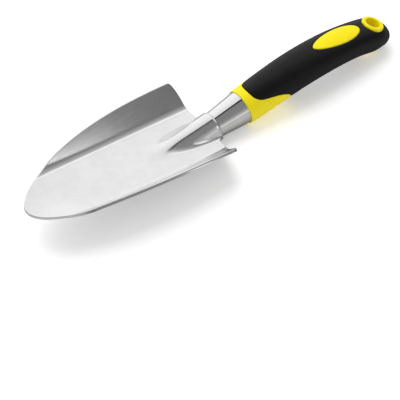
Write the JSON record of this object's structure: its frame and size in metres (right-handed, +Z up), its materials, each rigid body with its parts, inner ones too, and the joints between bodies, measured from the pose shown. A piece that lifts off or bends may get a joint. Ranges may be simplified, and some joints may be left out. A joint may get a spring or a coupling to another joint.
{
  "type": "hand trowel",
  "caption": "Hand trowel with a wide scoop blade, a tapered polished shank and a black and yellow soft-grip handle with a hanging hole.",
  "frame": {"origin": "on the floor plane under the middle of the trowel's length, as it rests on the sole of its socket and the rear of its hanging eyelet", "axes": "+X from the blade's tip towards the handle, +Y to the wing on the left when the tip points away, +Z up from the floor"},
  "size_m": [0.31, 0.0796, 0.0331],
  "materials": {
    "cast_aluminium": "satin polished casting",
    "polished_aluminium": "bright polished",
    "yellow_plastic": "satin gloss moulded plastic",
    "black_rubber": "fine matt soft grip"
  },
  "bodies": {
    "root": {"blade": "cast_aluminium", "shank": "polished_aluminium", "handle_core": "yellow_plastic", "soft_grip": "black_rubber", "thumb_inlay": "yellow_plastic", "hang_eyelet": "yellow_plastic"}
  },
  "joints": []
}
